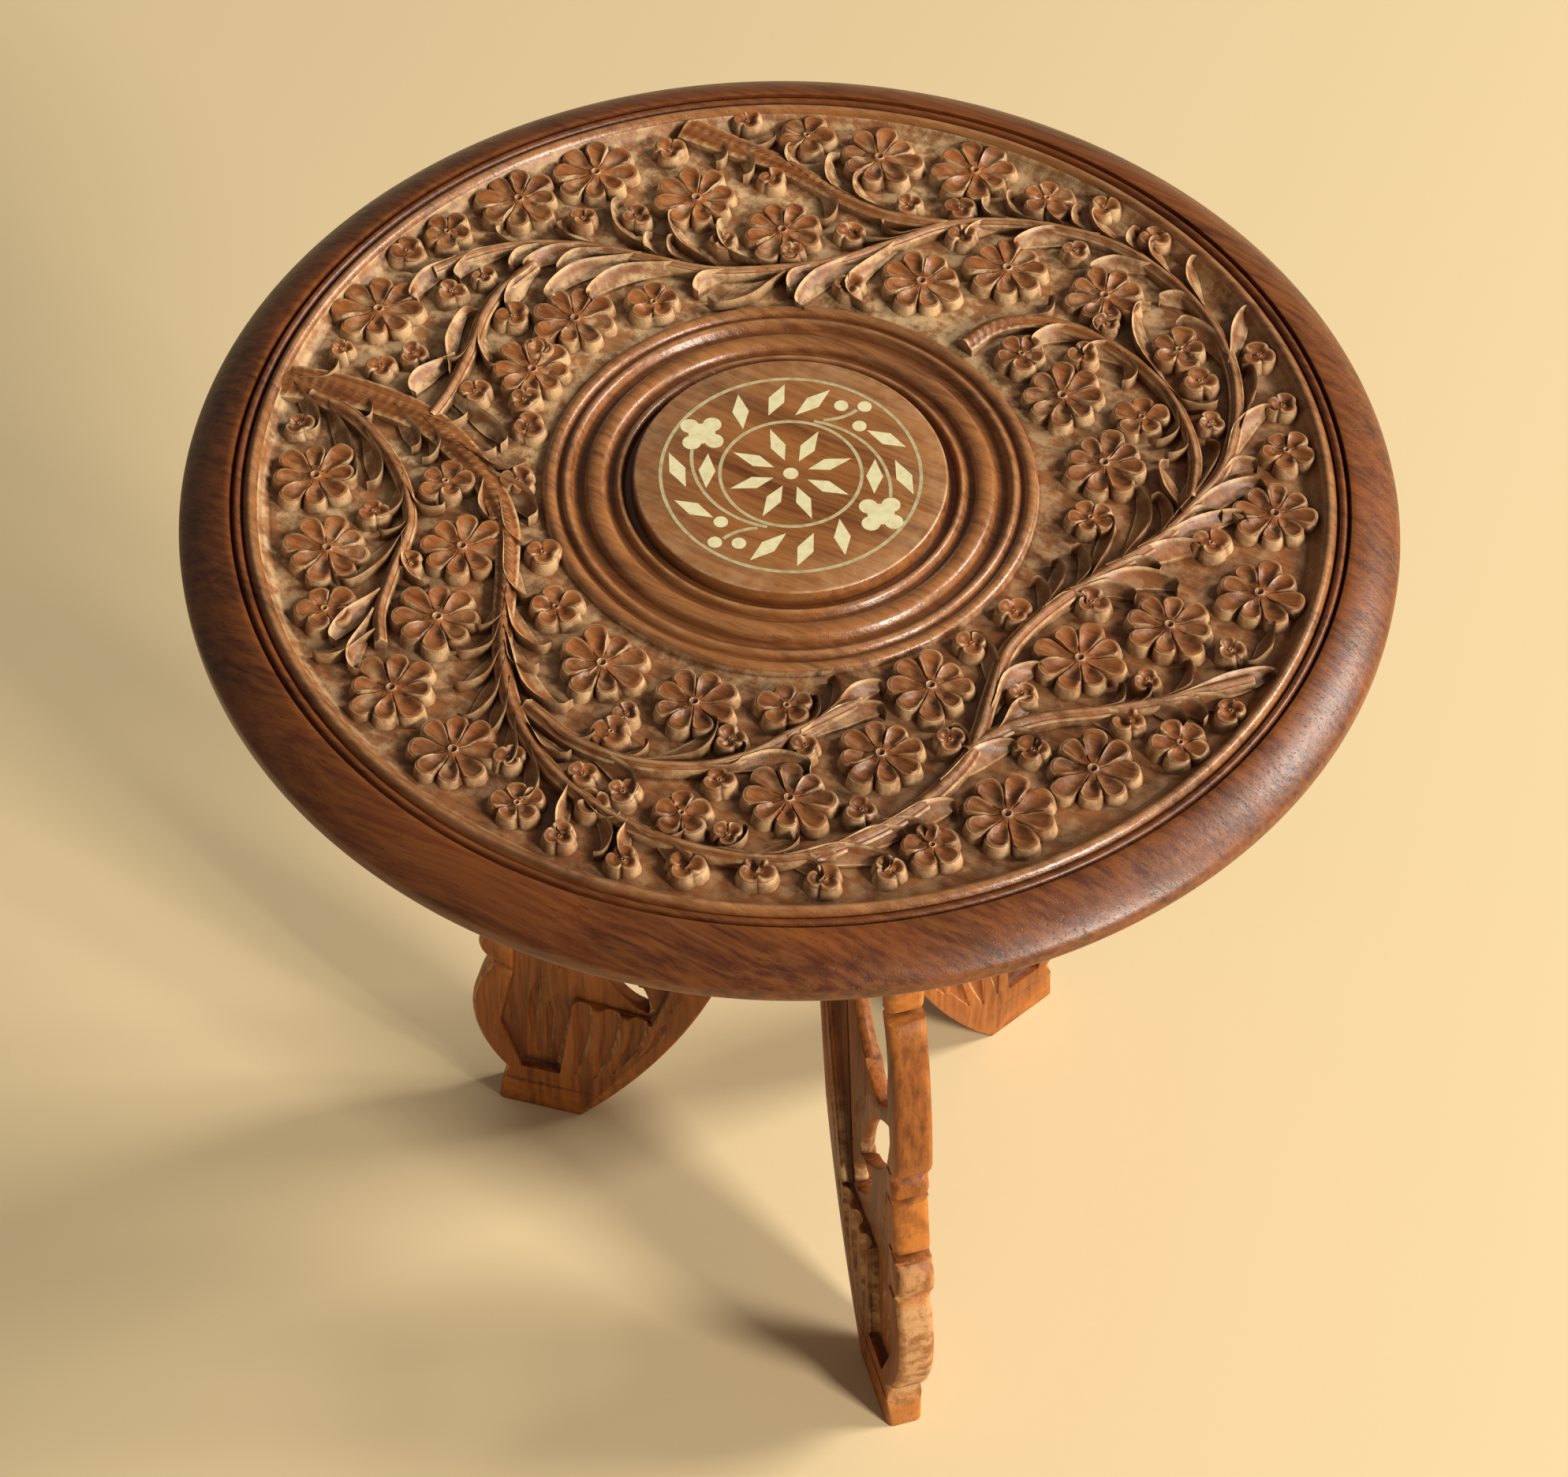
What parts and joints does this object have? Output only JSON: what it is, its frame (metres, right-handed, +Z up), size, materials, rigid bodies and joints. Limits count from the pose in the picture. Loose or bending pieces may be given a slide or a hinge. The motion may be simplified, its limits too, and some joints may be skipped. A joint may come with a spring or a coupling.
{
  "type": "plant stand",
  "caption": "Low folding plant stand: a loose round carved and inlaid wooden top on hinged, pierced leg panels that fold flat.",
  "frame": {"origin": "on the floor, under the middle of the round top", "axes": "+Z up, -Y towards the side where the front leg stands, +X towards the right leg"},
  "size_m": [0.305, 0.305, 0.298],
  "materials": {
    "sheesham": "waxed dark red-brown hardwood",
    "inlay_wire": "dull, sanded level with the wood",
    "inlay_pale": "pale cream, bone-like, sanded level with the wood",
    "hinge_brass": "dull"
  },
  "bodies": {
    "front_panel": {"front_leg": "sheesham", "front_leg_screws": "hinge_brass", "left_hinge_fixed_leaves": "hinge_brass", "left_hinge_pins": "hinge_brass", "right_hinge_fixed_leaves": "hinge_brass", "right_hinge_pins": "hinge_brass"},
    "left_panel": {"left_leg": "sheesham", "left_leg_screws": "hinge_brass", "left_hinge_moving_leaves": "hinge_brass"},
    "right_panel": {"right_leg": "sheesham", "right_leg_screws": "hinge_brass", "right_hinge_moving_leaves": "hinge_brass"},
    "top": {"table_top": "sheesham", "outer_ring_wire": "inlay_wire", "inner_ring_wire": "inlay_wire", "vine_wires": "inlay_wire", "branch_wires": "inlay_wire", "centre_dot": "inlay_pale", "star_lozenges": "inlay_pale", "border_lozenges": "inlay_pale", "quatrefoils": "inlay_pale", "border_dots": "inlay_pale"}
  },
  "joints": [
    {"name": "left_fold", "type": "hinge", "parent": "front_panel", "child": "left_panel", "pos_m": [0.0051, -0.01128, 0.2], "axis": [0, 0, 1], "range_deg": [0, 121.3]},
    {"name": "right_fold", "type": "hinge", "parent": "front_panel", "child": "right_panel", "pos_m": [0.01579, -0.00793, 0.2], "axis": [0, 0, -1], "range_deg": [0, 114.5]},
    {"name": "top_lift", "type": "slide", "parent": "front_panel", "child": "top", "axis": [0, 0, 1], "range_m": [0, 0.15]}
  ]
}
